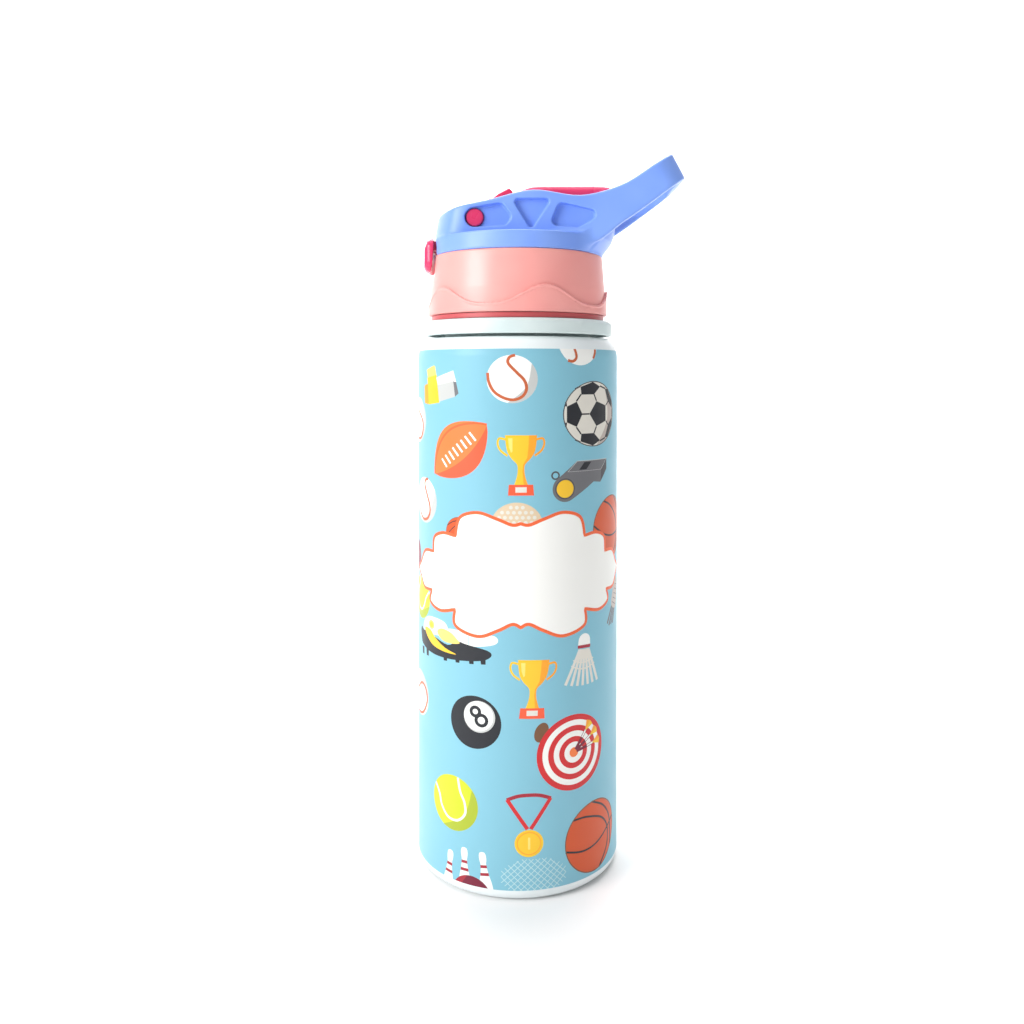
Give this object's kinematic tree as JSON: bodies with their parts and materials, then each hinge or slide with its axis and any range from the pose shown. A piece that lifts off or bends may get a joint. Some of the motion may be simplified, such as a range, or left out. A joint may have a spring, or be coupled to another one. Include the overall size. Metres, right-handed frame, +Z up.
{
  "type": "kids water bottle",
  "caption": "Slim printed aluminium drinking bottle with a screw-on lid, push-button latch, flip cover over a folding straw mouthpiece, and a fixed angled loop handle.",
  "frame": {"origin": "centre of the bottle's flat foot, on the surface it stands on", "axes": "+Z up the bottle's axis, +X towards the carrying handle, -X towards the release button, -Y towards the blank name plaque of the print"},
  "size_m": [0.096, 0.073, 0.2544],
  "materials": {
    "coated_aluminium": "gloss white coat under a sublimated print",
    "white_plastic": "satin moulded polypropylene",
    "coral_plastic": "satin moulded polypropylene",
    "blue_plastic": "satin moulded polypropylene",
    "magenta_plastic": "satin moulded polypropylene",
    "silicone": "matt translucent silicone",
    "straw_plastic": "clear extruded polypropylene",
    "steel": "bright stainless"
  },
  "bodies": {
    "bottle": {"bottle_shell": "coated_aluminium", "neck_collar": "white_plastic"},
    "gasket": {"lid_gasket": "silicone"},
    "lid": {"thread_liner": "coral_plastic", "lid_base": "coral_plastic", "top_frame": "blue_plastic", "button_spring": "steel", "cover_hinge_pin": "steel", "cover_spring": "steel", "mouthpiece_base": "silicone", "vent_valve": "silicone", "straw": "straw_plastic"},
    "button": {"release_button": "magenta_plastic"},
    "cover": {"flip_cover": "magenta_plastic"},
    "mouthpiece": {"mouthpiece_tip": "silicone"}
  },
  "joints": [
    {"name": "lid_lift", "type": "slide", "parent": "bottle", "child": "gasket", "axis": [0, 0, 1], "range_m": [0, 0.0061]},
    {"name": "lid_turn", "type": "hinge", "parent": "gasket", "child": "lid", "pos_m": [0, 0, 0.2], "axis": [0, 0, 1], "range_deg": [0, 540]},
    {"name": "cover_flip", "type": "hinge", "parent": "lid", "child": "cover", "pos_m": [0.03, 0, 0.238], "axis": [0, 1, 0], "range_deg": [0, 125]},
    {"name": "mouthpiece_rise", "type": "hinge", "parent": "lid", "child": "mouthpiece", "pos_m": [0.011, 0, 0.23], "axis": [0, 1, 0], "range_deg": [0, 76]},
    {"name": "button_press", "type": "hinge", "parent": "lid", "child": "button", "pos_m": [-0.015, 0, 0.2308], "axis": [0, -1, 0], "range_deg": [0, 5], "stiffness_Nm_per_rad": 0.4, "springref_deg": -5.73, "deforming": ["button_spring"]}
  ],
  "couplings": [
    {"joint": "lid_lift", "follows": "lid_turn", "m_per_rad": 0.00063662},
    {"joint": "mouthpiece_rise", "follows": "cover_flip", "ratio": 0.6}
  ]
}
